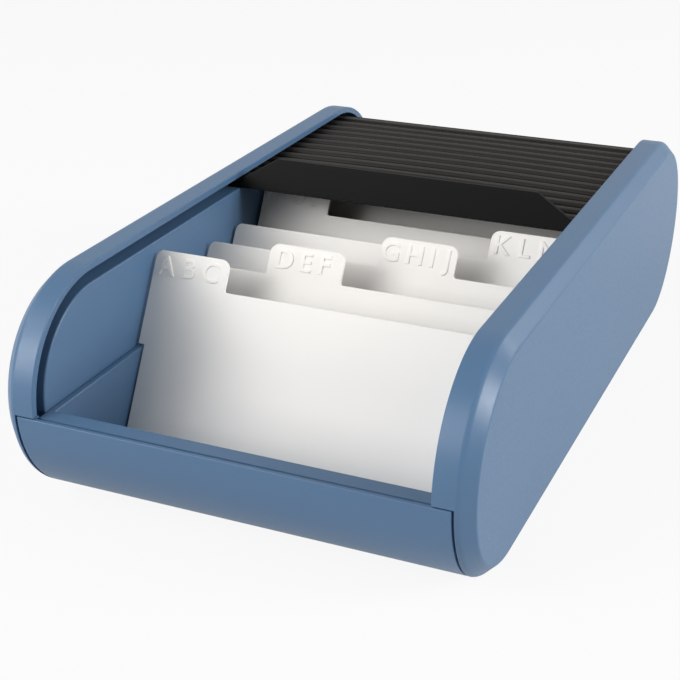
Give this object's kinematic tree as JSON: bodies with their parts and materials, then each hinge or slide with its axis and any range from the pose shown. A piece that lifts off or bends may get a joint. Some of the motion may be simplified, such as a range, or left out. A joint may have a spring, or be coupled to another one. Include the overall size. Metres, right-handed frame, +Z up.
{
  "type": "business card box",
  "caption": "Desk box for business cards with rounded ends, a ribbed roller shutter that slides open from the front, and leaning index dividers inside.",
  "frame": {"origin": "middle of the rectangle under the box, on the surface that it stands on", "axes": "+X to the right side, +Y to the rear, +Z up; the opening is at the front (-Y)"},
  "size_m": [0.136, 0.24, 0.0728],
  "materials": {
    "blue_abs": "satin moulded",
    "black_shutter": "satin moulded",
    "white_divider": "matte",
    "foot_rubber": "matte"
  },
  "bodies": {
    "case": {"base_shell": "blue_abs", "card_tray": "blue_abs", "left_cheek": "blue_abs", "right_cheek": "blue_abs", "left_liner": "blue_abs", "right_liner": "blue_abs", "shutter_return_run": "black_shutter", "foot_front_left": "foot_rubber", "foot_front_right": "foot_rubber", "foot_rear_left": "foot_rubber", "foot_rear_right": "foot_rubber"},
    "shutter": {"shutter_handle": "black_shutter", "shutter_top_run": "black_shutter"},
    "divider_1": {"divider_1": "white_divider"},
    "divider_2": {"divider_2": "white_divider"},
    "divider_3": {"divider_3": "white_divider"},
    "divider_4": {"divider_4": "white_divider"},
    "divider_5": {"divider_5": "white_divider"},
    "divider_6": {"divider_6": "white_divider"},
    "divider_7": {"divider_7": "white_divider"},
    "divider_8": {"divider_8": "white_divider"}
  },
  "joints": [
    {"name": "shutter_slide", "type": "slide", "parent": "case", "child": "shutter", "axis": [0, 1, 0], "range_m": [-0.086, 0.05], "deforming": ["shutter_top_run"]},
    {"name": "divider_1_tip", "type": "hinge", "parent": "case", "child": "divider_1", "pos_m": [0, -0.081, 0.00895], "axis": [1, 0, 0], "range_deg": [0, 60]},
    {"name": "divider_2_tip", "type": "hinge", "parent": "case", "child": "divider_2", "pos_m": [0, -0.0625, 0.00895], "axis": [1, 0, 0], "range_deg": [0, 16]},
    {"name": "divider_3_tip", "type": "hinge", "parent": "case", "child": "divider_3", "pos_m": [0, -0.044, 0.00895], "axis": [1, 0, 0], "range_deg": [0, 16]},
    {"name": "divider_4_tip", "type": "hinge", "parent": "case", "child": "divider_4", "pos_m": [0, -0.0255, 0.00895], "axis": [1, 0, 0], "range_deg": [0, 16]},
    {"name": "divider_5_tip", "type": "hinge", "parent": "case", "child": "divider_5", "pos_m": [0, -0.007, 0.00895], "axis": [1, 0, 0], "range_deg": [0, 4]},
    {"name": "divider_6_tip", "type": "hinge", "parent": "case", "child": "divider_6", "pos_m": [0, 0.0115, 0.00895], "axis": [1, 0, 0], "range_deg": [0, 4]},
    {"name": "divider_7_tip", "type": "hinge", "parent": "case", "child": "divider_7", "pos_m": [0, 0.03, 0.00895], "axis": [1, 0, 0], "range_deg": [0, 4]},
    {"name": "divider_8_tip", "type": "hinge", "parent": "case", "child": "divider_8", "pos_m": [0, 0.0485, 0.00895], "axis": [1, 0, 0], "range_deg": [0, 4]}
  ]
}
